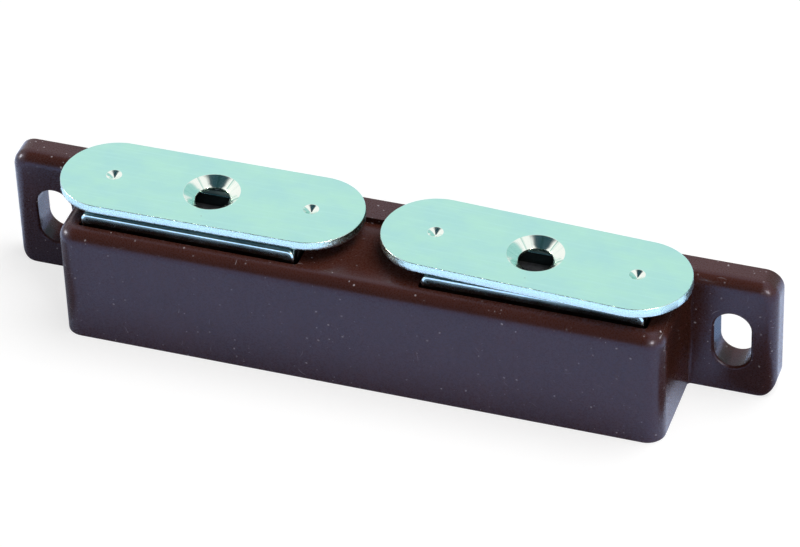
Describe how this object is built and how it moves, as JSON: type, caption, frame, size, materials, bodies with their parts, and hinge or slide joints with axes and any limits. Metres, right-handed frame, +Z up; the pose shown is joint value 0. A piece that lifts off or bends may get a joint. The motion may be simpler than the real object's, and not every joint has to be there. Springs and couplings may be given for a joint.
{
  "type": "magnetic catch",
  "caption": "Long magnetic cabinet catch: a moulded housing with slotted screw ears, magnet packs between steel pole plates, and loose countersunk counterplates resting on the poles.",
  "frame": {"origin": "middle of the underside, half way between the mounting back and the front of the block", "axes": "+X along the catch to the right as seen from its front, +Y towards the mounting back, +Z up from the underside to the poles"},
  "size_m": [0.094, 0.0152, 0.0181],
  "materials": {
    "housing_plastic": "fine satin moulding texture, dark brown",
    "zinc_plate": "bright zinc plating, satin, faintly blue-green",
    "pole_steel": "zinc-plated sheared sheet steel",
    "ferrite": "dull pressed ferrite, charcoal grey"
  },
  "bodies": {
    "root": {"housing": "housing_plastic", "pole_front_left": "pole_steel", "pole_rear_left": "pole_steel", "magnet_left": "ferrite", "counterplate_left": "zinc_plate", "pole_front_right": "pole_steel", "pole_rear_right": "pole_steel", "magnet_right": "ferrite", "counterplate_right": "zinc_plate"}
  },
  "joints": []
}
